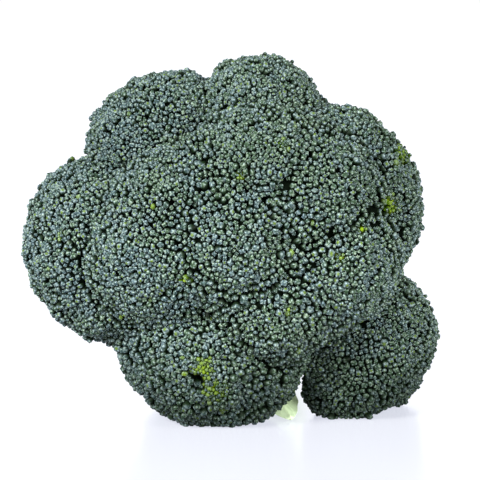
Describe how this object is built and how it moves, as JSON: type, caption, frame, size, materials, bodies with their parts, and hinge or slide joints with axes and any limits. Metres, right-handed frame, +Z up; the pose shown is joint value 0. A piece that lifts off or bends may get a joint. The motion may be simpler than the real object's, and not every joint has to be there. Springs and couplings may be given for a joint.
{
  "type": "broccoli head",
  "caption": "Head of broccoli lying on its side, a wide crown of budded florets on a thick branching stalk with a cut end and a small leaf.",
  "frame": {"origin": "on the ground, under the middle of the head's outline", "axes": "+X to the right as the crown is faced, +Y from the crown back along the stalk, +Z up"},
  "size_m": [0.1526, 0.1474, 0.1328],
  "materials": {
    "buds": "matt, waxy blue-green flower buds",
    "stalk": "smooth, slightly waxy pale green skin",
    "leaf": "soft matt pale green leaf"
  },
  "bodies": {
    "root": {"floret_crown_middle": "buds", "floret_crown_top": "buds", "floret_crown_upper_left": "buds", "floret_crown_left": "buds", "floret_crown_low": "buds", "floret_crown_right": "buds", "floret_crown_upper_right": "buds", "floret_top": "buds", "floret_upper_left": "buds", "floret_left": "buds", "floret_upper_right": "buds", "floret_lower_right": "buds", "floret_low": "buds", "floret_rear_right": "buds", "floret_rear_left": "buds", "stalk": "stalk", "leaf": "leaf"}
  },
  "joints": []
}
